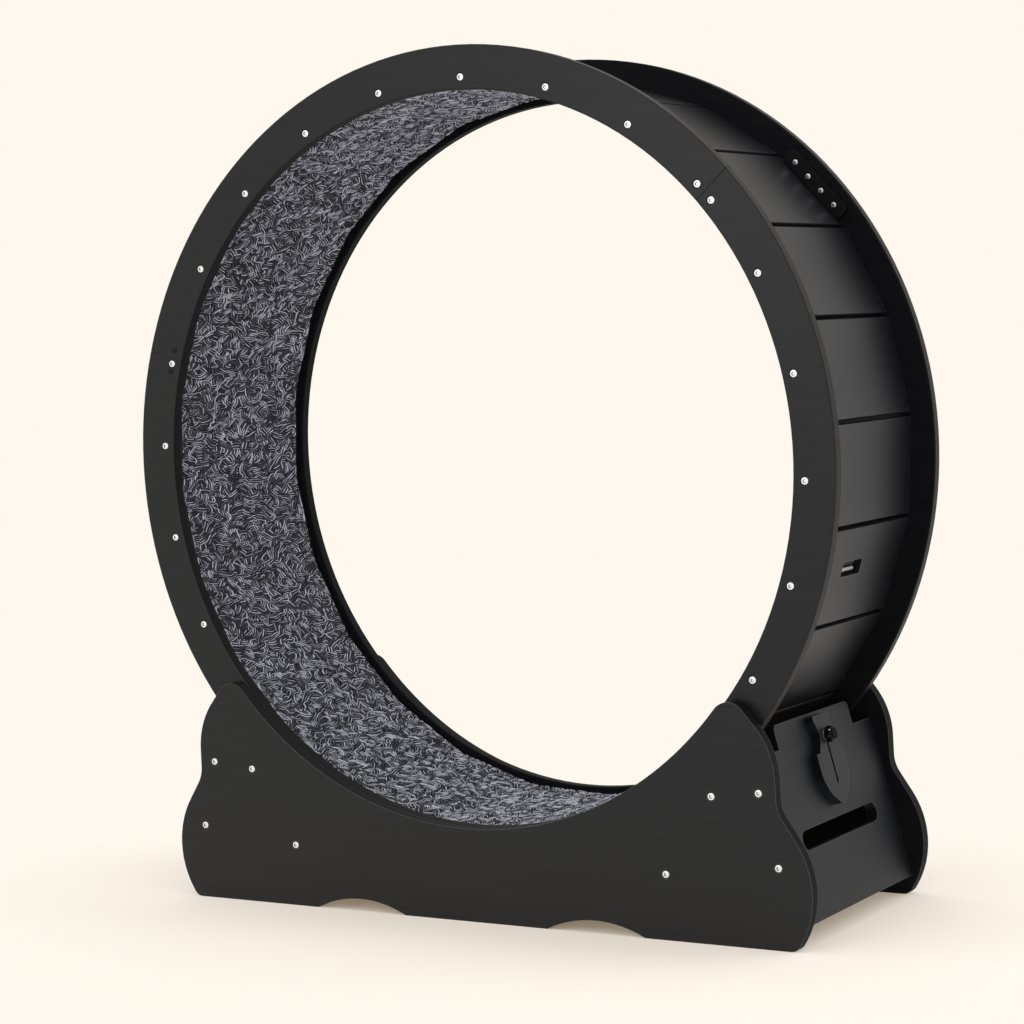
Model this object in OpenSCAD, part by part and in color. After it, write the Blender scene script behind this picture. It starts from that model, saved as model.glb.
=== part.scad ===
// Cat exercise wheel: a carpeted drum between two side rings, turning on four rollers in a low stand.
// Millimetres. +Z is up, the drum's axis runs along Y, and the front is towards -Y.
// The origin is on the floor, under the middle of the drum.

/* [Wheel] */
// Outer diameter of the side rings
wheel_d = 1036; // [980:2:1080]
// Width of a side ring, from its rim to its bore
ring_w = 55; // [48:1:62]
// Thickness of a side ring
ring_t = 15; // [12:0.5:18]
// Clear width between the side rings
drum_w = 274; // [240:2:300]
// Rounding of a side ring's edges
ring_round = 2; // [1:0.25:3]
// Play between two segments of a side ring
segment_gap = 0.6; // [0.3:0.1:1.2]
// Height of the rings' lowest point above the floor
floor_gap = 64; // [50:1:80]

/* [Tread boards] */
// Number of boards round the drum
board_count = 24; // [24]
// Thickness of a board
board_t = 12; // [9:0.5:14]
// Width of the gap between two boards, at their middle
board_gap = 4.8; // [3:0.2:8]
// Rounding of a board's long edges
board_round = 1.5; // [0.5:0.25:3]
// How far a board's outer face lies inside the rim
rim_height = 34; // [30:1:38]
// Turn of the first board past the horizontal, in degrees
board_turn = 11.4; // [0:0.1:14.9]
// Thickness of the carpet
carpet_t = 5; // [3:0.5:8]
// Distance between the carpet's edge and a side ring
carpet_inset = 8; // [2:0.5:14]
// Thickness of the glue between the carpet and the boards
carpet_glue = 0.1; // [0.05:0.05:0.3]

/* [Joint plates] */
// Width of a joint plate
plate_w = 21; // [16:0.5:24]
// Length of a joint plate
plate_l = 110; // [90:1:116]
// Thickness of a joint plate
plate_t = 6; // [4:0.5:8]
// Rounding of a joint plate's corners
plate_corner = 7; // [3:0.5:8]
// Distance between the screws of a joint plate
plate_screw_pitch = 25.5; // [20:0.5:28]

/* [Stand] */
// Thickness of a side panel
panel_t = 14; // [10:0.5:18]
// Gap between a ring and the side panel beside it
side_gap = 4; // [3.8:0.1:6]
// How far the rear panel's concave edge lies back from the rings' bore, so that the rear ring hides it
rear_relief = 8; // [0:1:12]
// Thickness of an end board
end_t = 14; // [10:0.5:16]
// Lean of the end boards, in degrees
end_lean = 14.2; // [12:0.2:17]
// How far a side panel reaches out past the end board's upper screw
end_inset = 63; // [58:1:72]
// Height of the end board's upper screw
end_screw_z = 186; // [180:1:192]
// Distance between the two screws at an end board's edge
end_screw_pitch = 90.5; // [70:0.5:100]
// Clearance between an end board's shoulder and the rim
shoulder_gap = 13.4; // [8:0.2:20]
// Clearance between an end board's tongue and the drum
tongue_gap = 18.6; // [12:0.2:24]
// Width of an end board's tongue
tongue_w = 208; // [180:2:216]
// Height of an end board's bottom edge above the floor
end_lift = 24; // [16:1:40]
// Length of the handle slot
handle_l = 212; // [150:2:230]
// Height of the handle slot
handle_h = 24; // [18:1:30]
// Distance from the upper screw down to the handle slot
handle_drop = 72.5; // [60:0.5:74]

/* [Rollers] */
// Diameter of a roller where the rim runs
roller_d = 25; // [22:0.5:28]
// How far a roller's flange stands over the rim
flange_h = 6; // [4:0.5:7]
// Thickness of a roller's flange
flange_t = 2.5; // [1.5:0.1:2.8]
// Diameter of an axle
axle_d = 10; // [8:0.5:12]
// Angle of an axle from straight below the drum's axis, in degrees
axle_angle = 40.6; // [36:0.2:42]
// Running clearance of a roller on its axle
roller_fit = 0.05; // [0.03:0.01:0.08]

/* [Lock] */
// Thickness of the lock slider
slider_t = 12; // [8:0.5:14]
// Width of the slider's leaf
slider_w = 71; // [60:1:80]
// Height of the slider
slider_h = 112; // [104:1:116]
// Length of the slider's slot
slider_slot_l = 63.5; // [50:0.5:66]
// Width of the slider's slot
slider_slot_w = 5.2; // [5.2:0.1:7]
// Diameter of the lock stud
stud_d = 5; // [4:0.1:5]
// Distance from the tongue's top edge down to the lock stud
stud_drop = 30.5; // [28:0.5:36]
// Diameter of the lock knob
knob_d = 21; // [18:0.5:25]
// Height of the lock knob
knob_h = 11; // [9:0.5:16]
// Height of the window in the lock board, along the drum's turn
window_h = 19.5; // [17:0.5:22]
// Width of the window in the lock board
window_w = 54; // [44:1:60]

/* [Screws] */
// Diameter of a screw head in the rings and side panels
head_d = 9.6; // [8:0.2:10]
// Diameter of a screw head in the joint plates
small_head_d = 7; // [6:0.2:8]
// Diameter of the screws' shanks
shank_d = 4; // [3:0.1:4.5]
// Depth that a screw reaches into a board
screw_grip = 30; // [20:1:36]

/* [Hidden] */
BOARD_NODES = [for (k = [1:board_count - 1]) str("tread_board_", k < 10 ? "0" : "", k)];

black_board = "#2E2E2F";
black_edge = "#1F1F20";
carpet_grey = "#6A6A72";
steel = "#C9CACC";
black_plastic = "#151515";
roller_grey = "#3A3A3C";

$fn = 48;
// How far a cutting shape runs past the face that it cuts
overrun = 1;
// Play of a screw's shank in its hole, on the radius
hole_play = 0.1;
// Gap that keeps two sliding faces apart
slide_play = 0.2;

// Wheel
wheel_r = wheel_d / 2;
bore_r = wheel_r - ring_w;
axis_z = floor_gap + wheel_r;
ring_in = drum_w / 2;
ring_out = ring_in + ring_t;
board_pitch = 360 / board_count;
board_out = wheel_r - rim_height;
board_in = board_out - board_t;
board_mid = (board_out + board_in) / 2;
board_w = 2 * board_mid * tan(board_pitch / 2) - board_gap;
drum_corner_r = norm([board_out, board_w / 2]);
lock_board_k = 0;
// Turn of each segment joint, in degrees
joint_turns = [40.6, 162.1, 281.4];
// Turn of the screws beside a joint, in degrees from it, and of the plugs beside the second joint
joint_screw_turns = [[-1.6, 1.6], [0.8], [-1.6, 1.6]];
joint_cap_turns = [-1.4, 2.1];
segment_turns = [
    [joint_turns[0], joint_turns[1]],
    [joint_turns[1], joint_turns[2]],
    [joint_turns[2], joint_turns[0] + 360]
];
segment_trim = segment_gap / board_mid * 90 / PI;

// Screws
head_h = 2.4;
head_proud = 0.4;
head_sink = head_h - head_proud;
sink_play = 0.7;
socket_share = 0.26;
socket_depth = 1.2;
// Shares of a screw head's radius and height, from its rim to its crown
head_shares = [[1, 0], [1, 0.55], [0.86, 0.88], [0.5, 1]];
small_head_h = 2;
small_grip = 9;
shank_r = shank_d / 2;
hole_r = shank_r + hole_play;
cap_head_r = 4;
cap_head_h = 0.8;
cap_stem_l = 8;

// Joint plates
plate_play = 0.5;
plate_mid_r = board_out + plate_play + plate_w / 2;

// Lock board
window_mid = 8.2;
window_corner = 2;
window_bolt_d = 7;
window_bolt_reach = 8;
window_bolt_sunk = 20;
window_bolt_drop = 5;
window_bolt_side = 1.7;
window_block_t = 4.4;
window_block_sink = 1.5;
window_block_back = 2;

// Stand
panel_in = ring_out + side_gap;
panel_out = panel_in + panel_t;
shoulder_h = 40;
tongue_corner = 8;
end_half_t = end_t / 2;
shoulder_z = end_screw_z + shoulder_h * cos(end_lean) - end_half_t * sin(end_lean);
shoulder_r = wheel_r + shoulder_gap;
shoulder_x = sqrt(shoulder_r * shoulder_r - (axis_z - shoulder_z) * (axis_z - shoulder_z));
end_screw_x = shoulder_x + end_half_t * cos(end_lean) + shoulder_h * sin(end_lean);
tongue_r = drum_corner_r + tongue_gap;
tongue_run = shoulder_x * sin(end_lean) + (axis_z - shoulder_z) * cos(end_lean);
tongue_h = tongue_run - sqrt(tongue_run * tongue_run - shoulder_r * shoulder_r + tongue_r * tongue_r);
end_top = shoulder_h + tongue_h;
end_bottom = (end_screw_z - end_lift) / cos(end_lean);
panel_half_l = end_screw_x + end_inset;

// Side panel's outline: the corners of its end, outwards from panel_half_l and up from the floor
foot_back = 21;
foot_corner = 14;
bulge_out = 23;
bulge_z = 72;
bulge_r = 112;
waist_back = 40;
waist_z = 166;
waist_r = 40;
lobe_back = 41;
lobe_z = 238;
lobe_r = 100;
tip_r = 24;
tip_turn = 40;
arch_w = 140;
arch_h = 16;
arch_x = 177;

// Axles, rollers and rails
roller_play = 0.3;
roller_side_play = 0.75;
axle_r = axle_d / 2;
roller_r = roller_d / 2;
axle_reach = wheel_r + roller_play + roller_r;
axle_x = axle_reach * sin(axle_angle);
axle_z = axis_z - axle_reach * cos(axle_angle);
groove_w = ring_t + 2 * roller_side_play;
roller_w = groove_w + 2 * flange_t;
roller_y = (ring_in + ring_out) / 2;
spacer_wall = 2.4;
spacer_play = 0.1;
rail_s = 28;
rail_angle = 29.1;
rail_gap = 36;
rail_reach = wheel_r + rail_gap + rail_s * sqrt(2) / 2;
rail_x = rail_reach * sin(rail_angle);
rail_z = axis_z - rail_reach * cos(rail_angle);

// Lock
stud_r = stud_d / 2;
stud_up = end_top - stud_drop;
slider_above_stud = 26.5;
washer_r = 7;
washer_t = 1;
knob_lobes = 7;
knob_lobe_r = 4.2;
knob_cap = 4;
knob_flute_out = 2.6;
stud_head_r = 6;
stud_head_h = 3;

// Points of an arc from turn a0 to turn a1, in degrees
function arc_points(centre, r, a0, a1, steps) =
    [for (i = [0:steps]) centre + r * [cos(a0 + (a1 - a0) * i / steps), sin(a0 + (a1 - a0) * i / steps)]];

function unit(v) = v / norm(v);

// Points that round the corner b, between a and c, with radius r
function corner_points(a, b, c, r, steps = 10) =
    let (
        u = unit(a - b),
        v = unit(c - b),
        half = acos(u * v) / 2,
        centre = b + unit(u + v) * r / sin(half),
        start = b + u * r / tan(half) - centre,
        end = b + v * r / tan(half) - centre,
        a0 = atan2(start[1], start[0]),
        turn = (atan2(end[1], end[0]) - a0 + 540) % 360 - 180
    ) arc_points(centre, r, a0, a0 + turn, steps);

function xy(p) = [p[0], p[1]];

// Points of a closed outline whose corners [x, y, radius] are rounded
function rounded_outline(corners, steps = 6) =
    let (n = len(corners))
    [for (i = [0:n - 1])
        each corners[i][2] > 0
            ? corner_points(xy(corners[(i + n - 1) % n]), xy(corners[i]), xy(corners[(i + 1) % n]),
                corners[i][2], steps)
            : [xy(corners[i])]];

// Rectangle about the origin with rounded corners
function rounded_box(w, h, r, steps = 6) = rounded_outline(
    [[w / 2, -h / 2, r], [w / 2, h / 2, r], [-w / 2, h / 2, r], [-w / 2, -h / 2, r]], steps);

// Slot of length l and width w along x, about the origin
module slot_2d(l, w) {
    square([l - w, w], center = true);
    for (side = [-1, 1]) {
        translate([side * (l - w) / 2, 0]) circle(d = w);
    }
}

// The drum's own frame: x to the right, y up, z towards the front, about the drum's axis
module on_wheel(turn = 0) {
    translate([0, 0, axis_z]) rotate([90, 0, 0]) rotate([0, 0, turn]) children();
}

// Front (1) or rear (-1) half of the drum
module wheel_side(side) {
    if (side > 0) {
        children();
    } else {
        mirror([0, 0, 1]) children();
    }
}

// Turn of board k, and of the screws that hold its end
function board_angle(k) = board_turn + (k - 2) * board_pitch;
function joint_of(k) =
    [for (j = [0:2]) if (abs(angle_between(joint_turns[j], board_angle(k))) < board_pitch / 2) j];
function angle_between(a, b) = (a - b + 540) % 360 - 180;
function screw_turns(k) =
    let (joints = joint_of(k))
    len(joints) == 0 ? [board_angle(k)] : [for (a = joint_screw_turns[joints[0]]) joint_turns[joints[0]] + a];
plate_turns = [for (j = [0:2]) for (k = [0:board_count - 1])
    if (len(joint_of(k)) > 0 && joint_of(k)[0] == j) board_angle(k)];

function in_segment(a, part) =
    (a - segment_turns[part][0] + 720) % 360 < segment_turns[part][1] - segment_turns[part][0];

// Screw along -z, with the underside of its head at z = 0
module screw(head, head_height, shank, grip) {
    difference() {
        union() {
            rotate_extrude() polygon(concat(
                [[0, 0]],
                [for (s = head_shares) [s[0] * head / 2, s[1] * head_height]],
                [[0, head_height]]
            ));
            translate([0, 0, -grip]) cylinder(r = shank, h = grip);
        }
        translate([0, 0, head_height - socket_depth])
            cylinder(r = head * socket_share, h = socket_depth + overrun, $fn = 6);
    }
}

// Hole for a screw whose head sinks into the face at z = 0
module sunk_hole(grip) {
    translate([0, 0, -head_sink]) cylinder(d = head_d + 2 * sink_play, h = head_sink + overrun);
    translate([0, 0, -head_sink - grip - overrun]) cylinder(r = hole_r, h = grip + 2 * overrun);
}

module sunk_screw(grip) {
    translate([0, 0, -head_sink]) screw(head_d, head_h, shank_r, grip);
}

// Side rings

module ring_profile() {
    translate([bore_r + ring_w / 2, (ring_in + ring_out) / 2])
        polygon(rounded_box(ring_w, ring_t, ring_round, 3));
}

module plate_screw_places(turn) {
    rotate([0, 0, turn]) {
        for (i = [-1.5:1:1.5]) {
            translate([plate_mid_r, i * plate_screw_pitch, ring_in - plate_t]) rotate([180, 0, 0]) children();
        }
    }
}

module cap_places() {
    for (a = joint_cap_turns) {
        rotate([0, 0, joint_turns[1] + a]) translate([board_mid, 0, ring_out]) children();
    }
}

module ring_segment(side, part) {
    from = segment_turns[part][0] + segment_trim;
    to = segment_turns[part][1] - segment_trim;
    color(black_board) on_wheel() wheel_side(side) difference() {
        rotate([0, 0, from]) rotate_extrude(angle = to - from, $fn = 180) ring_profile();
        for (k = [0:board_count - 1], a = screw_turns(k)) {
            if (in_segment(a, part)) {
                rotate([0, 0, a]) translate([board_mid, 0, ring_out]) sunk_hole(ring_t);
            }
        }
        for (turn = [plate_turns[part], plate_turns[(part + 1) % 3]]) {
            plate_screw_places(turn)
                translate([0, 0, -plate_t - small_grip - overrun])
                    cylinder(r = hole_r, h = small_grip + 2 * overrun);
        }
        if (part < 2) {
            cap_places() translate([0, 0, -cap_stem_l - overrun])
                cylinder(r = hole_r, h = cap_stem_l + 2 * overrun);
        }
    }
}

// Tread boards

module board_blank(k) {
    rotate([0, 0, board_angle(k)]) translate([board_mid, 0, -drum_w / 2])
        linear_extrude(drum_w) polygon(rounded_box(board_t, board_w, board_round, 3));
}

module board_screw_holes(k) {
    for (side = [-1, 1], a = screw_turns(k)) {
        wheel_side(side) rotate([0, 0, a]) translate([board_mid, 0, ring_in - screw_grip - overrun])
            cylinder(r = hole_r, h = screw_grip + 2 * overrun);
    }
}

module tread_board(k) {
    color(black_board) on_wheel() difference() {
        board_blank(k);
        board_screw_holes(k);
    }
}

// Frame on the lock board's window: x outwards from the board's inner face, y along the turn, z to the front
module at_window() {
    rotate([0, 0, board_angle(lock_board_k)]) translate([board_in, window_mid, 0]) children();
}

module window_bolt(play) {
    translate([board_t - window_bolt_drop, -window_bolt_side, -window_bolt_reach])
        cylinder(d = window_bolt_d + 2 * play, h = window_w / 2 + window_bolt_reach + window_bolt_sunk + play);
}

module lock_board() {
    color(black_board) on_wheel() difference() {
        board_blank(lock_board_k);
        board_screw_holes(lock_board_k);
        at_window() translate([-overrun, 0, 0]) rotate([90, 0, 90])
            linear_extrude(board_t + 2 * overrun) polygon(rounded_box(window_h, window_w, window_corner));
        at_window() window_bolt(hole_play);
    }
}

module lock_board_bolt() {
    color(steel) on_wheel() at_window() window_bolt(0);
}

module lock_board_block() {
    block_l = window_w / 2 - window_corner + window_bolt_reach - window_block_back;
    color(black_plastic) on_wheel() at_window()
        translate([window_block_back, window_h / 2 - window_block_t, window_block_back - window_bolt_reach])
            cube([board_t - window_block_back - window_block_sink, window_block_t, block_l]);
}

// Carpet

function drum_polygon(apothem) =
    [for (k = [0:board_count - 1])
        let (a = board_angle(k) + board_pitch / 2) apothem / cos(board_pitch / 2) * [cos(a), sin(a)]];

module carpet_runner() {
    half_w = ring_in - carpet_inset;
    color(carpet_grey) on_wheel() translate([0, 0, -half_w]) linear_extrude(2 * half_w) difference() {
        polygon(drum_polygon(board_in - carpet_glue));
        polygon(drum_polygon(board_in - carpet_t));
    }
}

// Joint plates and the drum's screws

module joint_plate(side, part) {
    color(black_edge) on_wheel() wheel_side(side) difference() {
        rotate([0, 0, plate_turns[part]]) translate([plate_mid_r, 0, ring_in - plate_t])
            linear_extrude(plate_t) polygon(rounded_box(plate_w, plate_l, plate_corner));
        plate_screw_places(plate_turns[part])
            translate([0, 0, -plate_t - overrun]) cylinder(r = hole_r, h = plate_t + 2 * overrun);
    }
}

module ring_screws() {
    color(steel) on_wheel() for (side = [-1, 1], k = [0:board_count - 1], a = screw_turns(k)) {
        wheel_side(side) rotate([0, 0, a]) translate([board_mid, 0, ring_out])
            sunk_screw(ring_t - head_sink + screw_grip);
    }
}

module plate_screws() {
    color(steel) on_wheel() for (side = [-1, 1], turn = plate_turns) {
        wheel_side(side) plate_screw_places(turn)
            screw(small_head_d, small_head_h, shank_r, plate_t + small_grip);
    }
}

module joint_screw_caps() {
    color(black_plastic) on_wheel() for (side = [-1, 1]) {
        wheel_side(side) cap_places() {
            cylinder(r = cap_head_r, h = cap_head_h);
            translate([0, 0, -cap_stem_l]) cylinder(r = shank_r, h = cap_stem_l + cap_head_h / 2);
        }
    }
}

// Stand

// Right half of a side panel's outline, from its foot up to the concave edge of radius inner_r
function panel_half(inner_r) =
    let (
        foot = [panel_half_l - foot_back, 0],
        bulge = [panel_half_l + bulge_out, bulge_z],
        waist = [panel_half_l - waist_back, waist_z],
        lobe = [panel_half_l - lobe_back, lobe_z],
        tip = [(inner_r + tip_r) * cos(tip_turn), axis_z - (inner_r + tip_r) * sin(tip_turn)],
        reach = lobe - tip,
        touch_turn = atan2(reach[1], reach[0]) + acos(tip_r / norm(reach)),
        touch = tip + tip_r * [cos(touch_turn), sin(touch_turn)]
    ) concat(
        corner_points([0, 0], foot, bulge, foot_corner, 4),
        corner_points(foot, bulge, waist, bulge_r, 16),
        corner_points(bulge, waist, lobe, waist_r, 8),
        corner_points(waist, lobe, touch, lobe_r, 10),
        arc_points(tip, tip_r, touch_turn, 180 - tip_turn, 14)
    );

function mirrored(points) = [for (i = [len(points) - 1:-1:0]) [-points[i][0], points[i][1]]];

module panel_outline(inner_r) {
    right = panel_half(inner_r);
    concave = arc_points([0, axis_z], inner_r, -tip_turn, tip_turn - 180, 60);
    inner = [for (i = [1:len(concave) - 2]) concave[i]];
    arch_r = (arch_w * arch_w / 4 + arch_h * arch_h) / (2 * arch_h);
    difference() {
        polygon(concat(right, inner, mirrored(right)));
        for (side = [-1, 1]) {
            translate([side * arch_x, arch_h - arch_r]) circle(r = arch_r, $fn = 180);
        }
    }
}

// Places [x, z] of the screws in a side panel, on its right half
end_screw_places = [
    [end_screw_x, end_screw_z],
    [end_screw_x + end_screw_pitch * sin(end_lean), end_screw_z - end_screw_pitch * cos(end_lean)]
];
panel_screw_places = concat(end_screw_places, [[axle_x, axle_z], [rail_x, rail_z]]);

// Places on the outer face of a side panel, z outwards: front (1) or rear (-1)
module panel_places(side, places) {
    mirror([0, side > 0 ? 0 : 1, 0]) for (x_side = [-1, 1], p = places) {
        translate([x_side * p[0], -panel_out, p[1]]) rotate([90, 0, 0]) children();
    }
}

module side_panel(side) {
    color(black_board) difference() {
        mirror([0, side > 0 ? 0 : 1, 0]) translate([0, -panel_in, 0]) rotate([90, 0, 0])
            linear_extrude(panel_t) panel_outline(side > 0 ? bore_r : bore_r + rear_relief);
        panel_places(side, panel_screw_places) sunk_hole(panel_t);
    }
}

// Frame on an end board: x outwards, z up its slope, origin between its upper screws
module on_end(side) {
    mirror([side > 0 ? 0 : 1, 0, 0]) translate([end_screw_x, 0, end_screw_z])
        rotate([0, -end_lean, 0]) children();
}

module end_outline() {
    half_w = panel_in;
    half_tongue = tongue_w / 2;
    polygon(rounded_outline([
        [-half_w, -end_bottom, 0],
        [half_w, -end_bottom, 0],
        [half_w, shoulder_h, 0],
        [half_tongue, shoulder_h, 0],
        [half_tongue, end_top, tongue_corner],
        [-half_tongue, end_top, tongue_corner],
        [-half_tongue, shoulder_h, 0],
        [-half_w, shoulder_h, 0]
    ]));
}

module end_board(side) {
    color(black_board) difference() {
        on_end(side) translate([-end_half_t, 0, 0]) rotate([90, 0, 90]) linear_extrude(end_t) difference() {
            end_outline();
            translate([0, -handle_drop]) slot_2d(handle_l, handle_h);
        }
        for (y_side = [-1, 1]) {
            panel_places(y_side, end_screw_places) translate([0, 0, -panel_t - screw_grip - overrun])
                cylinder(r = hole_r, h = screw_grip + 2 * overrun);
        }
        if (side > 0) {
            on_end(side) translate([-end_half_t - overrun, 0, stud_up]) rotate([0, 90, 0])
                cylinder(r = stud_r + hole_play, h = end_t + 2 * overrun);
        }
    }
}

module cross_rail(side) {
    color(black_edge) translate([side * rail_x, 0, rail_z]) rotate([90, 0, 0]) difference() {
        translate([0, 0, -panel_in]) linear_extrude(2 * panel_in) square(rail_s, center = true);
        for (end = [-1, 1]) {
            wheel_side(end) translate([0, 0, panel_in - screw_grip - overrun])
                cylinder(r = hole_r, h = screw_grip + 2 * overrun);
        }
    }
}

module axle(side) {
    color(steel) translate([side * axle_x, 0, axle_z]) rotate([90, 0, 0]) difference() {
        translate([0, 0, -panel_in]) cylinder(r = axle_r, h = 2 * panel_in);
        for (end = [-1, 1]) {
            wheel_side(end) translate([0, 0, panel_in - screw_grip - overrun])
                cylinder(r = hole_r, h = screw_grip + 2 * overrun);
        }
    }
}

module axle_spacers() {
    spacer_half = roller_y - roller_w / 2 - roller_side_play;
    color(roller_grey) for (side = [-1, 1]) {
        translate([side * axle_x, 0, axle_z]) rotate([90, 0, 0]) translate([0, 0, -spacer_half]) difference() {
            cylinder(r = axle_r + spacer_wall, h = 2 * spacer_half);
            translate([0, 0, -overrun]) cylinder(r = axle_r + spacer_play, h = 2 * (spacer_half + overrun));
        }
    }
}

module base_screws() {
    color(steel) for (side = [-1, 1]) {
        panel_places(side, panel_screw_places) sunk_screw(panel_t - head_sink + screw_grip);
    }
}

// Grooved roller, with its groove under the ring's rim
module roller(side_x, side_y) {
    half_w = roller_w / 2;
    flange_r = roller_r + flange_h;
    lead = flange_t / 3;
    color(roller_grey) translate([side_x * axle_x, side_y * roller_y, axle_z]) rotate([90, 0, 0])
        rotate_extrude() polygon([
            [axle_r + roller_fit, -half_w],
            [flange_r - lead, -half_w],
            [flange_r, lead - half_w],
            [flange_r, 2 * lead - half_w],
            [flange_r - lead, -groove_w / 2],
            [roller_r, -groove_w / 2],
            [roller_r, groove_w / 2],
            [flange_r - lead, groove_w / 2],
            [flange_r, half_w - 2 * lead],
            [flange_r, half_w - lead],
            [flange_r - lead, half_w],
            [axle_r + roller_fit, half_w]
        ]);
}

// Lock

module along_stud(out) {
    on_end(1) translate([end_half_t + out, 0, stud_up]) rotate([0, 90, 0]) children();
}

knob_base = 2 * slide_play + slider_t + washer_t + slide_play;

module lock_stud() {
    color(steel) {
        along_stud(0) translate([0, 0, -end_t])
            cylinder(r = stud_r, h = end_t + knob_base + knob_h - knob_cap - slide_play);
        along_stud(0) translate([0, 0, -end_t - stud_head_h]) cylinder(r = stud_head_r, h = stud_head_h);
    }
}

module lock_washer() {
    color(black_plastic) along_stud(2 * slide_play + slider_t) difference() {
        cylinder(r = washer_r, h = washer_t);
        translate([0, 0, -overrun]) cylinder(r = stud_r + hole_play, h = washer_t + 2 * overrun);
    }
}

module lock_knob() {
    // Shares of the knob's radius and height, from its foot to its crown
    profile_shares = [[0.7, 0], [0.86, 0.08], [0.98, 0.24], [1, 0.42], [0.92, 0.68], [0.74, 0.9], [0.42, 1]];
    knob_r = knob_d / 2;
    skin = [for (s = profile_shares) [s[0] * knob_r, s[1] * knob_h]];
    color(black_plastic) along_stud(knob_base) difference() {
        rotate_extrude() polygon(concat([[0, 0]], skin, [[0, knob_h]]));
        for (i = [0:knob_lobes - 1]) {
            rotate([0, 0, 360 / knob_lobes * i]) translate([knob_r + knob_flute_out, 0, -overrun])
                cylinder(r = knob_lobe_r, h = knob_h + 2 * overrun);
        }
        translate([0, 0, -overrun]) cylinder(r = stud_r + roller_fit, h = knob_h - knob_cap + overrun);
    }
}

// Outline of the slider about the stud, x along the drum's axis and y up: neck, leaf, tip, step, neck
module slider_outline() {
    // Corners: x and the corner's radius as shares of the half-width, drop below the top as one of the height
    corner_shares = [
        [0.56, 0, 0.05],
        [0.55, 0.25, 0.56],
        [1.03, 0.5, 0.5],
        [1.01, 0.68, 0.85],
        [0.68, 0.865, 1.1],
        [0, 1.02, 0.25],
        [-0.7, 0.86, 1.1],
        [-1, 0.67, 0.85],
        [-1, 0.41, 0.05],
        [-0.72, 0.41, 0.06],
        [-0.35, 0.225, 0.34],
        [-0.62, 0.055, 0.22],
        [-0.62, 0, 0.05]
    ];
    half = slider_w / 2;
    polygon(rounded_outline([for (s = corner_shares)
        [s[0] * half, slider_above_stud - s[1] * slider_h, s[2] * half]]));
}

module lock_slider() {
    color(black_board) on_end(1) translate([end_half_t + slide_play, 0, stud_up]) rotate([90, 0, 90])
        linear_extrude(slider_t) difference() {
            slider_outline();
            translate([0, slider_slot_w / 2 - slider_slot_l / 2]) rotate(90)
                slot_2d(slider_slot_l, slider_slot_w);
        }
}

ring_segment(1, 0);  // front_ring_segment_a
ring_segment(1, 1);  // front_ring_segment_b
ring_segment(1, 2);  // front_ring_segment_c
ring_segment(-1, 0);  // rear_ring_segment_a
ring_segment(-1, 1);  // rear_ring_segment_b
ring_segment(-1, 2);  // rear_ring_segment_c
for (k = [1:board_count - 1]) {
    tread_board(k);
}
lock_board();
lock_board_bolt();
lock_board_block();
carpet_runner();
joint_plate(1, 0);  // front_joint_plate_a
joint_plate(1, 1);  // front_joint_plate_b
joint_plate(1, 2);  // front_joint_plate_c
joint_plate(-1, 0);  // rear_joint_plate_a
joint_plate(-1, 1);  // rear_joint_plate_b
joint_plate(-1, 2);  // rear_joint_plate_c
ring_screws();
plate_screws();
joint_screw_caps();
side_panel(1);  // front_side_panel
side_panel(-1);  // rear_side_panel
end_board(-1);  // left_end_board
end_board(1);  // right_end_board
cross_rail(-1);  // left_cross_rail
cross_rail(1);  // right_cross_rail
axle(-1);  // left_axle
axle(1);  // right_axle
axle_spacers();
base_screws();
roller(-1, -1);  // roller_front_left
roller(1, -1);  // roller_front_right
roller(-1, 1);  // roller_rear_left
roller(1, 1);  // roller_rear_right
lock_stud();
lock_washer();
lock_slider();
lock_knob();
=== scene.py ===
# %% [markdown]
# # Cat exercise wheel, dressed in Blender
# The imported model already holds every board, ring, screw and roller at its real size.
# This lesson loads it as a fixed frame and gives it the looks of the real thing: black
# laminated board with eased edges, a looped carpet, zinc-plated screws and moulded plastic.
# Nothing of the frame is moved. Its pieces get a finish and eased edges, the boards by their
# shader and the small parts by modifiers, and what needs a richer shape is built anew, in
# metres, where the frame says it sits.

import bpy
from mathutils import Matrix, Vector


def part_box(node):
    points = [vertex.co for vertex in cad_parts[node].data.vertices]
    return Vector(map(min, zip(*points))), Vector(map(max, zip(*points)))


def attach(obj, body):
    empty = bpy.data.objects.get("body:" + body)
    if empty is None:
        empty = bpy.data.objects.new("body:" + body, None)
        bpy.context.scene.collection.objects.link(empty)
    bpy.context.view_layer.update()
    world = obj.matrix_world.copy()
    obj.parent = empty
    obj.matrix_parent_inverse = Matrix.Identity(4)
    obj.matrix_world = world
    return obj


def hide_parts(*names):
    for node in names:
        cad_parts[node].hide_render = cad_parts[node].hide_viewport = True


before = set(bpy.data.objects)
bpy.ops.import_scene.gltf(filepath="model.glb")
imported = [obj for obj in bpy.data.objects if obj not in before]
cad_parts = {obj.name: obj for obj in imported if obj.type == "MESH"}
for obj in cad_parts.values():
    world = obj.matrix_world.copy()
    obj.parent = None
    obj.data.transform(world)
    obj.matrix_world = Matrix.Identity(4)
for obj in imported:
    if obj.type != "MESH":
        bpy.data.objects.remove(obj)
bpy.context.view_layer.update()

# %% [markdown]
# ## Small helpers
# Colours are picked as sRGB hex values, the way they look on a screen, while shaders count
# in linear light, so one function turns the first into the second. Another adds a shader
# node with its settings, values and links in one call, which keeps each material short.

# %% Helpers
import math

import bpy
import numpy as np
from mathutils import Matrix, Vector


def mm(length):
    """Millimetres in metres."""
    return length / 1000


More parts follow.
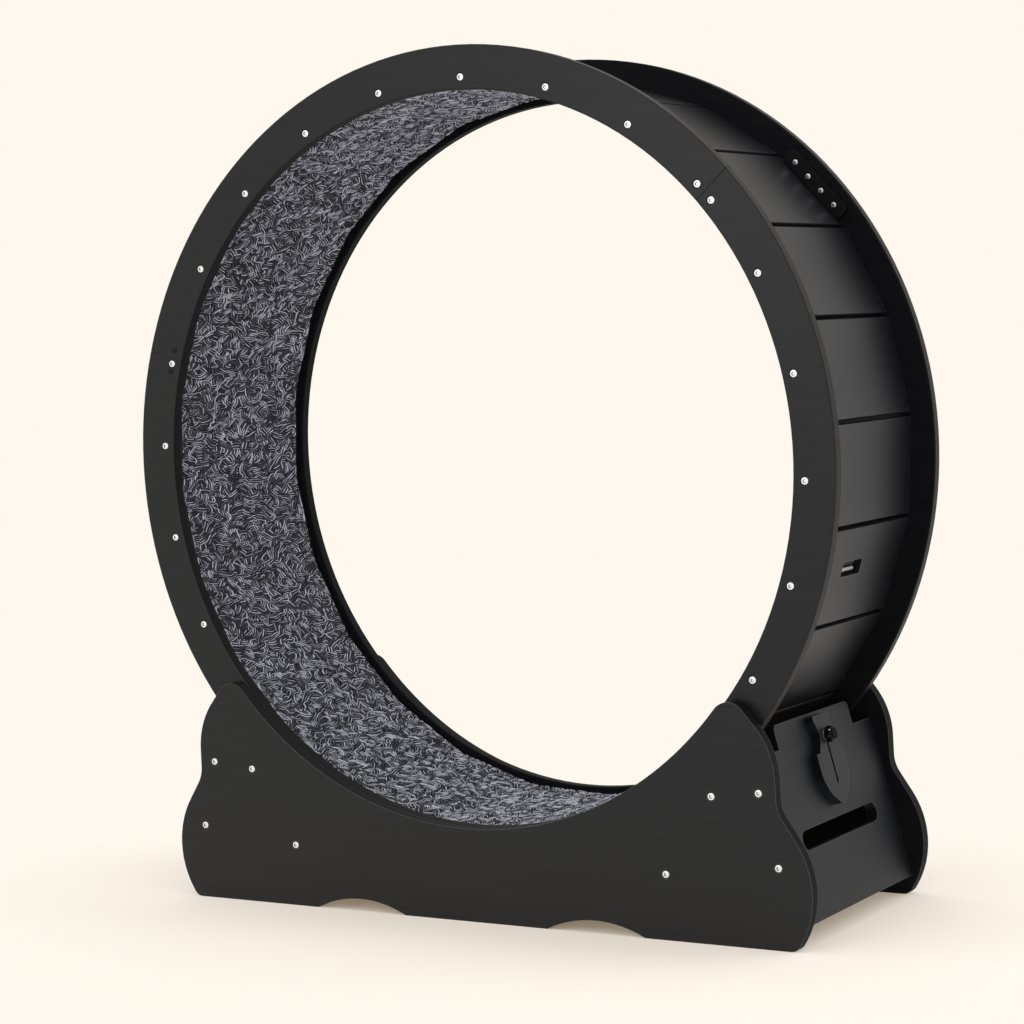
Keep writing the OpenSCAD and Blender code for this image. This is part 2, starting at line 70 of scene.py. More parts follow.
def linear(hex_code):
    """An sRGB hex colour as linear red, green, blue and alpha."""
    channels = [int(hex_code[i : i + 2], 16) / 255 for i in (1, 3, 5)]
    return [c / 12.92 if c <= 0.04045 else ((c + 0.055) / 1.055) ** 2.4 for c in channels] + [1]


def add_node(tree, kind, values=None, links=None, **settings):
    """One shader node with its settings, its sockets' values and its links."""
    made = tree.nodes.new(kind)
    for name, value in settings.items():
        setattr(made, name, value)
    for name, value in (values or {}).items():
        made.inputs[name].default_value = value
    for name, source in (links or {}).items():
        tree.links.new(source, made.inputs[name])
    return made


def add_ramp(tree, source, stops):
    """A colour ramp over (position, hex colour) stops, fed by a node's output."""
    ramp = add_node(tree, "ShaderNodeValToRGB", links={"Fac": source})
    while len(ramp.color_ramp.elements) < len(stops):
        ramp.color_ramp.elements.new(0.5)
    for element, (position, hex_code) in zip(ramp.color_ramp.elements, stops):
        element.position = position
        element.color = linear(hex_code)
    return ramp.outputs["Color"]


def new_material(name):
    """A new material with its node tree and its Principled shader."""
    material = bpy.data.materials.new(name)
    material.use_nodes = True
    tree = material.node_tree
    return material, tree, tree.nodes["Principled BSDF"]


# %% [markdown]
# ## Camera
# The view was worked out from the photograph with the two rings, whose ellipses fix the
# direction, the distance and the focal length. It is kept as what a photographer would
# say: which way the camera looks, how far off it stands and how long its lens is.

# %% Camera
RING_NODES = [f"{side}_ring_segment_{part}" for side in ("front", "rear") for part in "abc"]
ring_low = Vector([min(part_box(n)[0][i] for n in RING_NODES) for i in range(3)])
ring_high = Vector([max(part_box(n)[1][i] for n in RING_NODES) for i in range(3)])
wheel_centre = (ring_low + ring_high) / 2
wheel_radius = (ring_high.x - ring_low.x) / 2

VIEW_TURN = math.radians(32.489)
VIEW_RISE = math.radians(3.846)
VIEW_ROLL = math.radians(-2.88)
VIEW_DISTANCE = mm(3320.9)
VIEW_SIDE, VIEW_DROP = mm(-14.99), mm(-75.35)
IMAGE_SIDE = 1024
FOCAL_PIXELS = 2542.3

back = Vector((
    math.sin(VIEW_TURN) * math.cos(VIEW_RISE),
    -math.cos(VIEW_TURN) * math.cos(VIEW_RISE),
    math.sin(VIEW_RISE),
))
level_right = Vector((math.cos(VIEW_TURN), math.sin(VIEW_TURN), 0))
level_up = back.cross(level_right)
right = level_right * math.cos(VIEW_ROLL) + level_up * math.sin(VIEW_ROLL)
up = level_up * math.cos(VIEW_ROLL) - level_right * math.sin(VIEW_ROLL)

lens = bpy.data.cameras.new("camera")
lens.sensor_width = 36
lens.lens = FOCAL_PIXELS / IMAGE_SIDE * lens.sensor_width
camera = bpy.data.objects.new("camera", lens)
camera.matrix_world = Matrix.LocRotScale(
    wheel_centre + back * VIEW_DISTANCE + right * VIEW_SIDE + up * VIEW_DROP,
    Matrix((right, up, back)).transposed(),
    None,
)
bpy.context.scene.collection.objects.link(camera)
bpy.context.scene.camera = camera
print(f"lens {lens.lens:.1f} mm, {VIEW_DISTANCE:.2f} m from the wheel's centre")

# %% [markdown]
# ## Light
# A product shot on cream paper. Black board has hardly any colour of its own, so what the eye
# sees on it is a dim, blurred mirror image of the pale room. The rear ring hides part of that
# room from the drum's boards, which makes each board fade to black at its far end. The world
# is a plain dome of light, and only the camera and mirroring or clear things see it as cream
# paper. Three softboxes fill in, and the one on the left also shows in mirror images, where
# it brightens the upper right of the rings. A small light held close to the glossy lock knob
# puts the spark on its lobes. It shows in mirror images only, and its narrow beam keeps it
# out of the boards round the knob.

# %% World and lamps
PAPER = "#FEF8EE"
DAYLIGHT = "#FCFDFF"
DOME_LIGHT = 0.86

world = bpy.data.worlds.new("cream_paper")
bpy.context.scene.world = world
world.use_nodes = True
tree = world.node_tree
tree.nodes.clear()
paths = add_node(tree, "ShaderNodeLightPath")
seen = paths.outputs["Is Camera Ray"]
for ray in ("Is Glossy Ray", "Is Transmission Ray"):
    either = add_node(tree, "ShaderNodeMath", operation="MAXIMUM",
                      links={0: seen, 1: paths.outputs[ray]})
    seen = either.outputs[0]
dome = add_node(tree, "ShaderNodeBackground", {"Color": linear(DAYLIGHT), "Strength": DOME_LIGHT})
paper = add_node(tree, "ShaderNodeBackground", {"Color": linear(PAPER), "Strength": 1})
chosen = add_node(tree, "ShaderNodeMixShader",
                  links={0: seen, 1: dome.outputs[0], 2: paper.outputs[0]})
add_node(tree, "ShaderNodeOutputWorld", links={"Surface": chosen.outputs[0]})

knob_middle = sum((Vector(corner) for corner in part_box("lock_knob")), Vector()) / 2

# Place, width, watts, spread in degrees, whether it lights matt surfaces, and whether glossy
# ones mirror it
LAMPS = {
    "left_front_softbox": ((-0.8, -3.8, 1.75), 1.9, 20, 180, True, True),
    "right_rear_softbox": ((2.6, 1.6, 1.6), 2.0, 22, 180, True, False),
    "overhead_softbox": ((-0.3, -0.4, 3.4), 2.2, 12, 180, True, False),
    "knob_catch_light": (knob_middle + Vector((0.16, -0.035, 0.31)), 0.12, 0.035, 20, False, True),
}
for name, (place, width, watts, spread, lights_matt, mirrored) in LAMPS.items():
    light = bpy.data.lights.new(name, "AREA")
    light.size = width
    light.energy = watts
    light.spread = math.radians(spread)
    lamp = bpy.data.objects.new(name, light)
    lamp.location = place
    aim = knob_middle if name.startswith("knob") else wheel_centre
    lamp.rotation_euler = (aim - lamp.location).to_track_quat("-Z", "Y").to_euler()
    lamp.visible_camera = False
    lamp.visible_diffuse = lights_matt
    lamp.visible_glossy = mirrored
    bpy.context.scene.collection.objects.link(lamp)

bpy.context.scene.view_settings.view_transform = "Standard"
print(len(LAMPS), "lamps")

# %% [markdown]
# In the photograph nearly half of each drum board is black, though the rear ring stands too
# low to hide that much of the room. A black card behind the wheel can do the rest. Here it is
# a flat ring round the rear ring's rim that only mirror images show. It stands level with the
# ring's inner face, so that the rim itself still mirrors the pale room, and it reaches
# further out at the top, where the boards are seen at a flatter angle.

# %% Black card
CARD_CLEARANCE = mm(0.5)
CARD_REACH = mm(13)
CARD_TOP_REACH = mm(36)
# The power of the sine that keeps the further reach to the top
TOP_FOCUS = 6
CARD_SIDES = 96

card_y = min(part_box(name)[0][1] for name in RING_NODES if name.startswith("rear"))
turns = np.arange(CARD_SIDES) * math.tau / CARD_SIDES
reaches = CARD_REACH + CARD_TOP_REACH * np.maximum(np.sin(turns), 0) ** TOP_FOCUS
radii = wheel_radius + np.stack([np.full(CARD_SIDES, CARD_CLEARANCE), reaches], axis=1)
points = np.stack([radii * np.cos(turns)[:, None], np.full(radii.shape, card_y),
                   wheel_centre.z + radii * np.sin(turns)[:, None]], axis=-1).reshape(-1, 3)
quads = [[(2 * side + corner) % len(points) for corner in (0, 1, 3, 2)] for side in range(CARD_SIDES)]
mesh = bpy.data.meshes.new("black_card")
mesh.from_pydata(points.tolist(), [], quads)
material, tree, shader = new_material("black_flocked_card")
shader.inputs["Base Color"].default_value = linear("#050505")
shader.inputs["Roughness"].default_value = 1
mesh.materials.append(material)
card = bpy.data.objects.new("black_card", mesh)
card.visible_camera = card.visible_diffuse = card.visible_shadow = card.visible_transmission = False
bpy.context.scene.collection.objects.link(card)
print(f"black card reaches {reaches.min() * 1000:.0f} to {reaches.max() * 1000:.0f} mm beyond the rim")

# %% [markdown]
# ## Floor
# The same cream paper lies under the stand. Its shadow is a warm brown where the stand
# touches it. The paper glows faintly in that brown under its white, a painted glow that
# stands in for light bounced between paper and paper and keeps the shadows from going
# darker. The shadow of a big soft light dies out quickly, so the oval sheet fades to clear
# from the stand outwards.

# %% Floor
FLOOR_REACH = (1.5, 1.0)
# Share of the reach where the sheet starts to fade
FADE_START = 0.12
PAINTED_GLOW_BROWN = "#81725E"

material, tree, shader = new_material("cream_paper_floor")
shader.inputs["Base Color"].default_value = linear("#F0ECE6")
shader.inputs["Roughness"].default_value = 1
shader.inputs["Specular IOR Level"].default_value = 0
# Painted glow: the floor emits the brown that its deepest shadows come to
shader.inputs["Emission Color"].default_value = linear(PAINTED_GLOW_BROWN)
shader.inputs["Emission Strength"].default_value = 1
place = add_node(tree, "ShaderNodeTexCoord")
far = add_node(tree, "ShaderNodeVectorMath", links={0: place.outputs["Object"]}, operation="LENGTH")
fade = add_node(tree, "ShaderNodeMapRange", {"From Min": 1, "From Max": FADE_START},
                {"Value": far.outputs["Value"]}, interpolation_type="SMOOTHSTEP")
clear = add_node(tree, "ShaderNodeBsdfTransparent")
mixed = add_node(tree, "ShaderNodeMixShader",
                 links={0: fade.outputs[0], 1: clear.outputs[0], 2: shader.outputs[0]})
tree.links.new(mixed.outputs[0], tree.nodes["Material Output"].inputs["Surface"])

bpy.ops.mesh.primitive_circle_add(vertices=96, radius=1, fill_type="NGON")
floor = bpy.context.object
floor.name = "floor"
floor.scale = (*FLOOR_REACH, 1)
floor.data.materials.append(material)
print(f"floor reaches {FLOOR_REACH} m from the middle")

# %% [markdown]
# ## Board
# The rings, treads, panels and end boards are fibreboard with a black melamine film. The
# resin is nearly black and satin, with a faint pressed grain, so the eye mostly sees the
# paper room mirrored softly in it. The streaks are noise stretched along the board, about
# 0.7 mm apart on the real film and drawn at 3 mm here so that they show. The film on rings,
# panels and ends mirrors less than clear resin, because its black pigment lies at the
# surface, and a touch bluer. The drum's boards have a glossier one.
# Every arris carries a painted highlight, a thin line of lighter grey for the light that a
# rounded edge catches, which outlines every board. Modifiers can't round these boards cleanly
# beside their screw holes, so a bevel node rounds the shading, and the painted highlight
# line is drawn where its normal leaves the true one.
# Cut edges carry a matter tape that mirrors with a dimmer, greyer tint, and the sides that
# look inwards get the same gloss and tint as a painted shade. The shader knows both by one
# measure: how far out a place lies from the wheel's centre along the film's axes, times how
# much it looks out that way, which is large on outer faces only. A ring's rim is taped too,
# but polished by the rollers, and lies between the two: its radial axes count for little.

# %% Board material
STREAK_PITCH = mm(3)
STREAK_LENGTH = mm(160)
# Patches where the press left the film a little glossier
GLOSS_PATCH = mm(220)
ARRIS = mm(1)
RESIN_IOR = 1.5
# The outward measure from which a face counts as film, and below which it is tape on cut edges and
# painted shade on inward sides
FILM_OUT, TAPE_AND_SHADE_OUT = mm(60), mm(20)
TAPE_ROUGHNESS = 0.75
TAPE_AND_SHADE_TINT = "#50535A"


def black_melamine_board(name, grain_axis, mirroring, tint, gloss_range, arris_highlight, film_axes=None):
    """Satin black melamine film whose pressed grain runs along one axis, 0 for x or 1 for y."""
    material, tree, shader = new_material(name)
    place = add_node(tree, "ShaderNodeTexCoord")
    stretch = [1 / STREAK_PITCH] * 3
    stretch[grain_axis] = 1 / STREAK_LENGTH
    along = add_node(tree, "ShaderNodeMapping", {"Scale": stretch},
                     {"Vector": place.outputs["Object"]})
    streaks = add_node(tree, "ShaderNodeTexNoise", {"Scale": 1, "Detail": 4, "Roughness": 0.6},
                       {"Vector": along.outputs[0]})
    film = add_ramp(tree, streaks.outputs["Fac"], [(0.3, "#121214"), (0.7, "#1A1A1C")])
    arris = add_node(tree, "ShaderNodeBevel", {"Radius": ARRIS}, samples=8)
    flat = add_node(tree, "ShaderNodeNewGeometry").outputs["True Normal"]
    bent = add_node(tree, "ShaderNodeVectorMath", links={0: arris.outputs[0], 1: flat},
                    operation="DOT_PRODUCT")
    # Painted highlight: where the bevel's normal leaves the true one, the film turns to a lighter grey
    # line
    highlight_line = add_node(tree, "ShaderNodeMapRange", {"From Min": 0.99, "From Max": 0.8},
                     {"Value": bent.outputs["Value"]})
    film = add_node(tree, "ShaderNodeMixRGB", {"Color2": linear(arris_highlight)},
                    {"Fac": highlight_line.outputs[0], "Color1": film}).outputs[0]
    patches = add_node(tree, "ShaderNodeTexNoise", {"Scale": 1 / GLOSS_PATCH, "Detail": 2},
                       {"Vector": place.outputs["Object"]})
    gloss = add_node(tree, "ShaderNodeMapRange", dict(zip(("To Min", "To Max"), gloss_range)),
                     {"Value": patches.outputs["Fac"]}).outputs[0]
    if film_axes:
        offset = [-middle * axis for middle, axis in zip(wheel_centre, film_axes)]
        lies = add_node(tree, "ShaderNodeVectorMath", {1: film_axes, 2: offset},
                        {0: place.outputs["Object"]}, operation="MULTIPLY_ADD")
        outwards = add_node(tree, "ShaderNodeVectorMath", operation="DOT_PRODUCT",
                            links={0: place.outputs["Normal"], 1: lies.outputs[0]})
        # Tape on cut edges and painted shade on inward sides: a matter gloss and a dimmer tint
        dull = add_node(tree, "ShaderNodeMapRange", {"From Min": FILM_OUT, "From Max": TAPE_AND_SHADE_OUT},
                        {"Value": outwards.outputs["Value"]}).outputs[0]
        gloss = add_node(tree, "ShaderNodeMix", {"B": TAPE_ROUGHNESS},
                         {"Factor": dull, "A": gloss}).outputs[0]
        tints = add_ramp(tree, dull, [(0, tint), (1, TAPE_AND_SHADE_TINT)])
        tree.links.new(tints, shader.inputs["Specular Tint"])
    else:
        shader.inputs["Specular Tint"].default_value = linear(tint)
    pressed = add_node(tree, "ShaderNodeBump", {"Strength": 0.15, "Distance": mm(0.03)},
                       {"Height": streaks.outputs["Fac"], "Normal": arris.outputs[0]})
    tree.links.new(film, shader.inputs["Base Color"])
    tree.links.new(gloss, shader.inputs["Roughness"])
    tree.links.new(pressed.outputs[0], shader.inputs["Normal"])
    shader.inputs["IOR"].default_value = RESIN_IOR
    shader.inputs["Specular IOR Level"].default_value = mirroring
    return material


# The last colour of each board is its painted arris highlight
ring_board = black_melamine_board(
    "black_melamine_ring", 0, 0.31, "#EEF1F5", (0.3, 0.4), "#323236", (0.085, 1, 0.085))
panel_board = black_melamine_board(
    "black_melamine_panel", 0, 0.32, "#EEF1F5", (0.3, 0.4), "#707075", (0, 1, 0))
end_board = black_melamine_board(
    "black_melamine_end", 1, 0.33, "#DCECFF", (0.46, 0.54), "#707075", (1, 0, 0))
tread_board = black_melamine_board(
    "black_melamine_tread", 1, 0.66, "#DAE2F6", (0.38, 0.48), "#909096")
print("made", ring_board.name, panel_board.name, tread_board.name, end_board.name)

# %% [markdown]
# ## Metal and plastic
# The screws and axles are zinc-plated steel: bright, a little milky, with soft mirror
# images of a faint blue. A painted shade darkens what lies deep, such as the drive in a
# screw's head, and an ambient occlusion node finds those places. The bolt in the lock
# board's window is bare turned steel, greyer and patchy with tool marks. Joint
# plates and cross rails are coated black and matter than the film. The knob is glossy
# moulded nylon with a matt cap, the rollers a greyer nylon that a lathe left satin. Each is
# one Principled shader whose gloss and tint wander a little with a fine noise.

# %% Metal and plastic materials
# How far roughness strays from its middle value
GLOSS_WANDER = 0.06


def moulded_or_coated(name, shades, roughness, grit, metallic=0.0, paints_recess_shade=False):
    """A finish between two shades with a fine grit in its gloss and relief."""
    material, tree, shader = new_material(name)
    place = add_node(tree, "ShaderNodeTexCoord")
    grain = add_node(tree, "ShaderNodeTexNoise", {"Scale": 1 / grit, "Detail": 3},
                     {"Vector": place.outputs["Object"]})
    shade = add_ramp(tree, grain.outputs["Fac"], [(0.3, shades[0]), (0.7, shades[1])])
    # Painted shade: an ambient occlusion node darkens the colour where it lies deep
    if paints_recess_shade:
        open_sky = add_node(tree, "ShaderNodeAmbientOcclusion", {"Distance": mm(2)},
                            samples=8, only_local=True)
        painted_recess_shade = add_ramp(tree, open_sky.outputs["AO"], [(0.5, "#505256"), (0.85, "#FFFFFF")])
        recess_darkened = add_node(tree, "ShaderNodeMixRGB", {"Fac": 1}, {"Color1": shade, "Color2": painted_recess_shade},
                        blend_type="MULTIPLY")
        shade = recess_darkened.outputs["Color"]
    gloss = add_node(tree, "ShaderNodeMapRange",
                     {"To Min": roughness - GLOSS_WANDER, "To Max": roughness + GLOSS_WANDER},
                     {"Value": grain.outputs["Fac"]})
    relief = add_node(tree, "ShaderNodeBump", {"Strength": 0.3, "Distance": mm(0.04)},
                      {"Height": grain.outputs["Fac"]})
    tree.links.new(shade, shader.inputs["Base Color"])
    tree.links.new(gloss.outputs[0], shader.inputs["Roughness"])
    tree.links.new(relief.outputs[0], shader.inputs["Normal"])
    shader.inputs["Metallic"].default_value = metallic
    return material


zinc_plate = moulded_or_coated("zinc_plated_steel", ("#E6ECF6", "#F8FBFF"), 0.34, mm(1.2), 1.0, True)
bare_steel = moulded_or_coated("turned_steel_bolt", ("#7C7E84", "#C4C8CE"), 0.3, mm(2.5), 1.0)
black_powder_coat = moulded_or_coated("black_powder_coat", ("#060607", "#0A0A0B"), 0.5, mm(0.8))
moulded_nylon = moulded_or_coated("moulded_black_nylon", ("#040405", "#080809"), 0.1, mm(1.5))
matt_nylon = moulded_or_coated("matt_black_nylon", ("#040405", "#0A0A0B"), 0.6, mm(0.8))
roller_nylon = moulded_or_coated("turned_grey_nylon", ("#1C1C1E", "#262628"), 0.4, mm(1.0))
# The black ones mirror less than clear plastic, since their pigment lies at the surface
for finish, mirroring in ((black_powder_coat, 0.22), (moulded_nylon, 0.18), (matt_nylon, 0.05)):
    shader = finish.node_tree.nodes["Principled BSDF"]
    shader.inputs["Specular IOR Level"].default_value = mirroring
coat_shader = black_powder_coat.node_tree.nodes["Principled BSDF"]
coat_shader.inputs["Specular Tint"].default_value = linear("#E6ECF5")
small_finishes = (zinc_plate, bare_steel, black_powder_coat, moulded_nylon, matt_nylon, roller_nylon)
print("made", *(finish.name for finish in small_finishes))

# %% [markdown]
# ## Dress the frame
# No plate, knob or roller has a knife edge, and its rounded edge catches the light. The
# boards' shader draws theirs. On these smaller parts modifiers do it and leave the frame's
# own mesh alone: weld the corners, merge flat triangles, round what is sharper than 40
# degrees, then even the normals so that flat faces stay flat.

# %% Materials and eased edges
SHARP = math.radians(40)


def ease_edges(node, width):
    """Round a frame node's sharp edges by modifiers."""
    node.modifiers.new("weld", "WELD").merge_threshold = 1e-5
    merge = node.modifiers.new("merge_flat", "DECIMATE")
    merge.decimate_type = "DISSOLVE"
    merge.angle_limit = math.radians(0.2)
    arris = node.modifiers.new("arris", "BEVEL")
    arris.width = width
    arris.segments = 3
    arris.limit_method = "ANGLE"
    arris.angle_limit = SHARP
    arris.use_clamp_overlap = False
    even = node.modifiers.new("even_normals", "WEIGHTED_NORMAL")
    even.weight = 100
    even.keep_sharp = False


# Words of a node's name, its finish and the width of its eased edges; the first match counts
FINISHES = [
    (("ring_segment",), ring_board, None),
    (("side_panel",), panel_board, None),
    (("end_board", "lock_slider"), end_board, None),
    (("lock_board_bolt",), bare_steel, None),
    (("lock_board_block", "screw_caps"), black_powder_coat, mm(0.3)),
    (("tread_board", "lock_board"), tread_board, None),
    (("joint_plate", "cross_rail"), black_powder_coat, mm(0.8)),
    (("lock_knob",), moulded_nylon, mm(0.5)),
    (("roller", "axle_spacers"), roller_nylon, mm(0.3)),
    (("",), zinc_plate, None),
]
eased = 0
for name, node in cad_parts.items():
    material, width = next(row[1:] for row in FINISHES if any(word in name for word in row[0]))
    node.data.materials.clear()
    node.data.materials.append(material)
    if width is not None:
        ease_edges(node, width)
        eased += 1
print(eased, "nodes eased")

# %% [markdown]
# A star knob's top is closed by a matt pressed-in cap, so in the photograph only the lobes
# shine and the middle stays black. The frame's knob is one solid, so the cap is added here:
# a low disc, lathed as rings of points about the knob's own axis, which is the direction
# that the lock's end board faces, leaning back by 14.2 degrees.

# %% Knob cap
CAP_RADIUS = mm(7.2)
CAP_SIDES = 48
# Shares of the cap's radius, and its height over the knob's crown there
CAP_PROFILE = [(1, mm(-0.3)), (0.97, mm(0.25)), (0.9, mm(0.4)), (0.45, mm(0.4)), (0.1, mm(0.4))]
END_LEAN = math.radians(14.2)

knob_axis = Vector((math.cos(END_LEAN), 0, math.sin(END_LEAN)))
knob_points = [v.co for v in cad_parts["lock_knob"].data.vertices]
crown = max(point.dot(knob_axis) for point in knob_points)
middle = sum(knob_points, Vector()) / len(knob_points)
crown_middle = middle + knob_axis * (crown - middle.dot(knob_axis))
across = Vector((0, 1, 0))
upward = knob_axis.cross(across)
turns = [side * math.tau / CAP_SIDES for side in range(CAP_SIDES)]
outward = [across * math.cos(turn) + upward * math.sin(turn) for turn in turns]
cap_points = [crown_middle + knob_axis * height + CAP_RADIUS * share * direction
              for share, height in CAP_PROFILE for direction in outward]
ring_starts = range(0, len(cap_points), CAP_SIDES)
cap_faces = [[start + side, start + (side + 1) % CAP_SIDES,
              start + CAP_SIDES + (side + 1) % CAP_SIDES, start + CAP_SIDES + side]
             for start in ring_starts[:-1] for side in range(CAP_SIDES)]
cap_faces.append([ring_starts[-1] + side for side in range(CAP_SIDES)])
mesh = bpy.data.meshes.new("lock_knob_cap")
mesh.from_pydata(cap_points, [], cap_faces)
mesh.shade_smooth()
mesh.materials.append(matt_nylon)
cap = bpy.data.objects.new("lock_knob_cap", mesh)
bpy.context.scene.collection.objects.link(cap)
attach(cap, "lock_knob_body")
print("knob cap at", [round(value, 4) for value in crown_middle])

# %% [markdown]
# ## Carpet
# The runner is glued inside the drum. It bends a little at every joint between boards, but
# a cord backing is too stiff to fold sharply, so its section is a 24-sided ring with soft
# corners. One function turns a place on the unrolled runner, round the drum and across it,
# into a point of the drum, and both the backing and the pile are laid out with it.

# %% Shape of the unrolled runner
FLATS = sum(name.startswith("tread_board") or name == "lock_board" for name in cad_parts)
FLAT_TURN = math.tau / FLATS
BEND_RADIUS = mm(100)
BACKING = mm(1.6)

lock_low, lock_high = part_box("lock_board")
lock_middle = (Vector(lock_low) + Vector(lock_high)) / 2 - wheel_centre
first_turn = math.atan2(lock_middle.z, lock_middle.x)
runner_corners = [math.hypot(v.co.x, v.co.z - wheel_centre.z)
                  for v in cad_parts["carpet_runner"].data.vertices]
outer_apothem = max(runner_corners) * math.cos(FLAT_TURN / 2)
inner_apothem = min(runner_corners) * math.cos(FLAT_TURN / 2)
half_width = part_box("carpet_runner")[1][1]
runner_length = 2 * FLATS * (outer_apothem - BACKING) * math.tan(FLAT_TURN / 2)


def drum_points(round_drum, across, apothem):
    """Points of the drum from places on the unrolled runner, and the distance of its flats."""
    turn = round_drum / runner_length * math.tau
    off_middle = np.abs((turn - first_turn + FLAT_TURN / 2) % FLAT_TURN - FLAT_TURN / 2)
    off_corner = FLAT_TURN / 2 - off_middle
    bend_centre = (apothem - BEND_RADIUS) / math.cos(FLAT_TURN / 2)
    bent = (bend_centre * np.cos(off_corner)
            + np.sqrt(BEND_RADIUS**2 - (bend_centre * np.sin(off_corner)) ** 2))
    on_flat = np.tan(off_middle) < (1 - BEND_RADIUS / apothem) * math.tan(FLAT_TURN / 2)
    radius = np.where(on_flat, apothem / np.cos(off_middle), bent)
    height = wheel_centre.z + radius * np.sin(turn)
    return np.stack([radius * np.cos(turn), across + 0 * radius, height], axis=-1)


def mesh_of_quads(name, points, quads, material):
    """A smooth-shaded piece of quads that rides on the wheel."""
    mesh = bpy.data.meshes.new(name)
    mesh.vertices.add(len(points))
    mesh.vertices.foreach_set("co", points.ravel())
    mesh.loops.add(quads.size)
    mesh.loops.foreach_set("vertex_index", quads.ravel())
    mesh.polygons.add(len(quads))
    mesh.polygons.foreach_set("loop_start", np.arange(0, quads.size, 4))
    mesh.update(calc_edges=True)
    mesh.shade_smooth()
    mesh.materials.append(material)
    piece = bpy.data.objects.new(name, mesh)
    bpy.context.scene.collection.objects.link(piece)
    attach(piece, "wheel")
    return piece


print(f"runner {runner_length:.3f} m long, {2 * half_width:.3f} m wide, {FLATS} flats")

# %% [markdown]
# The backing is a dark woven cord, 1.6 mm thick. It shows only between the yarns, as the
# black ground of the pattern, so its material is near black and quite dull.

# %% Carpet backing
CORD_PITCH = mm(2)

material, tree, shader = new_material("woven_cord_backing")
place = add_node(tree, "ShaderNodeTexCoord")
weave = add_node(tree, "ShaderNodeTexNoise", {"Scale": 1 / CORD_PITCH, "Detail": 2},
                 {"Vector": place.outputs["Object"]})
shade = add_ramp(tree, weave.outputs["Fac"], [(0.3, "#1E1E22"), (0.7, "#34343A")])
tree.links.new(shade, shader.inputs["Base Color"])
shader.inputs["Roughness"].default_value = 0.95

AROUND = FLATS * 12
profile = [(-half_width, outer_apothem), (half_width, outer_apothem),
           (half_width, outer_apothem - BACKING), (-half_width, outer_apothem - BACKING)]
steps = np.arange(AROUND) * runner_length / AROUND
points = np.stack([drum_points(steps, y, apothem) for y, apothem in profile], axis=1).reshape(-1, 3)
ring = np.arange(AROUND)[:, None] * 4
side = np.arange(4)[None]
after = (ring + 4) % (4 * AROUND)
next_side = (side + 1) % 4
quads = np.stack([ring + side, ring + next_side, after + next_side, after + side], axis=-1)
quads = quads.reshape(-1, 4)
backing = mesh_of_quads("carpet_backing", points, quads, material)
backing.modifiers.new("even_normals", "WEIGHTED_NORMAL").keep_sharp = False
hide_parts("carpet_runner")
print("backing of", len(quads), "faces")

# %% [markdown]
# The pile is bright yarn looped over the dark backing in short lines, side by side in patches
# that each run and bend their own way, from straight to tight hooks. It is laid out flat, in
# a plan of the unrolled runner that is squeezed across its width, because the real loops are
# drawn out across the runner. The patches are the cells nearest to scattered seeds: in each
# cell parallel lines are cut off where the next cell begins, which is plain algebra for all
# cells at once. Each cell's lines are then rolled round the cell's own centre of curvature,
# and a sum of small waves makes every line unsteady.

# %% Yarn lines
DRAWN_OUT = 1.6
PATCH = mm(8.5)
YARN_PITCH = mm(2.9)
OVERREACH = mm(0.8)
SHORTEST = mm(0.8)
TIGHTEST_BEND = mm(3.5)
POINTS_PER_YARN = 6
LINES_ASIDE = 5
# Seeds keep this share of a cell away from its edges
SEED_MARGIN = 0.05
STRAIGHTEST = 0.05
TINY = 1e-9

rng = np.random.default_rng(24)
plan_half = half_width / DRAWN_OUT
columns, rows = round(runner_length / PATCH), round(2 * plan_half / PATCH) + 4
step_round, step_across = runner_length / columns, 2 * plan_half / (rows - 4)
cells = np.stack(np.meshgrid(np.arange(columns), np.arange(rows), indexing="ij"), axis=-1)
seeds = cells + rng.uniform(SEED_MARGIN, 1 - SEED_MARGIN, cells.shape)
seeds = seeds * [step_round, step_across] - [0, plan_half + 2 * step_across]
lie = rng.uniform(0, math.pi, (columns, rows))
along = np.stack([np.cos(lie), np.sin(lie)], axis=-1)[:, :, None]
aside = np.stack([-np.sin(lie), np.cos(lie)], axis=-1)[:, :, None]
line_offsets = ((np.arange(-LINES_ASIDE, LINES_ASIDE + 1) + 0.5) * YARN_PITCH)[None, None, :, None]
middles = seeds[:, :, None] + aside * line_offsets
begin = np.full(middles.shape[:3], -2 * PATCH)
end = np.full(middles.shape[:3], 2 * PATCH)


def cut(speed, room):
    """Keep only the stretch of every line where speed times length stays below room."""
    reach = room / np.where(np.abs(speed) < TINY, TINY, speed)
    np.minimum(end, reach, out=end, where=np.broadcast_to(speed > 0, end.shape))
    np.maximum(begin, reach, out=begin, where=np.broadcast_to(speed <= 0, end.shape))


for column_step in range(-2, 3):
    for row_step in range(-2, 3):
        if (column_step, row_step) == (0, 0):
            continue
        laps = (np.arange(columns) + column_step) // columns
        neighbours = np.roll(seeds, (-column_step, -row_step), axis=(0, 1))
        neighbours = neighbours + np.stack([laps * runner_length, 0 * laps], axis=-1)[:, None]
        toward = (neighbours - seeds)[:, :, None]
        halfway = (neighbours + seeds)[:, :, None] / 2
        cut((along * toward).sum(-1), ((halfway - middles) * toward).sum(-1))

kept = end - begin > SHORTEST
shares = np.linspace(0, 1, POINTS_PER_YARN)[None, :]
reach = ((begin[kept] - OVERREACH)[:, None] * (1 - shares)
         + (end[kept] + OVERREACH)[:, None] * shares)


def for_kept(values):
    """One row per kept line out of values that are given per cell or per line."""
    return np.broadcast_to(values, middles.shape[:3] + values.shape[3:])[kept][:, None]


